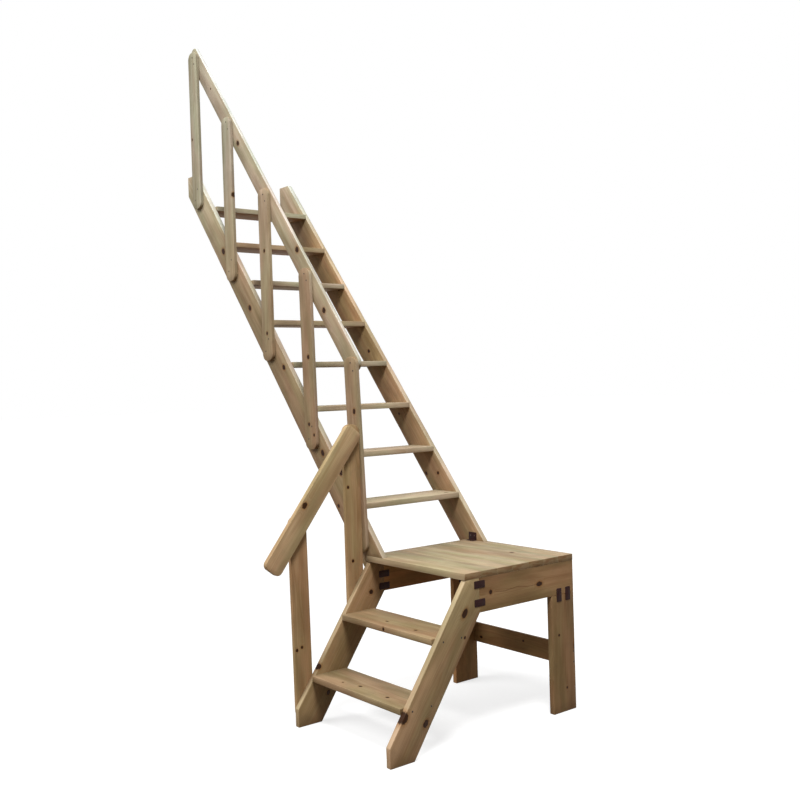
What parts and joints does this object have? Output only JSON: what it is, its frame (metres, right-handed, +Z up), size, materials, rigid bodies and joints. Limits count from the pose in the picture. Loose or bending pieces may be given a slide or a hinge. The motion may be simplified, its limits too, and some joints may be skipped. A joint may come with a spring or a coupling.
{
  "type": "loft staircase",
  "caption": "Steep timber loft staircase: a square platform on legs with a short flight up to it, a long flight turning off it, open treads and a slatted railing on one side.",
  "frame": {"origin": "middle of the upright cut at the top of the near upper stringer, on the face that is bolted to the loft edge", "axes": "+Z up; +X from the loft towards the platform, along the upper flight; +Y from the foot of the lower flight towards the back of the platform"},
  "size_m": [2.3181, 1.2052, 3.4564],
  "materials": {
    "upper_pine": "planed, unvarnished pine, weathered pale",
    "lower_pine": "planed, unvarnished pine, greyed brown",
    "panel_pine": "glued pine boards, planed",
    "fitting_brown": "dark brown coated steel plate"
  },
  "bodies": {
    "root": {"platform_panel": "panel_pine", "left_apron": "lower_pine", "right_apron": "lower_pine", "left_rear_leg": "lower_pine", "right_rear_leg": "lower_pine", "leg_stretcher": "lower_pine", "lower_left_stringer": "lower_pine", "lower_right_stringer": "lower_pine", "lower_tread_1": "lower_pine", "lower_tread_2": "lower_pine", "upper_near_stringer": "upper_pine", "upper_far_stringer": "upper_pine", "upper_tread_1": "upper_pine", "upper_tread_2": "upper_pine", "upper_tread_3": "upper_pine", "upper_tread_4": "upper_pine", "upper_tread_5": "upper_pine", "upper_tread_6": "upper_pine", "upper_tread_7": "upper_pine", "upper_tread_8": "upper_pine", "newel_post": "upper_pine", "baluster_1": "upper_pine", "baluster_2": "upper_pine", "baluster_3": "upper_pine", "baluster_4": "upper_pine", "upper_handrail": "upper_pine", "lower_rail_upper_post": "lower_pine", "lower_rail_lower_post": "lower_pine", "lower_handrail": "lower_pine", "left_stringer_plates": "fitting_brown", "right_stringer_plates": "fitting_brown", "left_leg_plates": "fitting_brown", "right_leg_plates": "fitting_brown", "near_foot_bracket": "fitting_brown", "far_foot_bracket": "fitting_brown"}
  },
  "joints": []
}
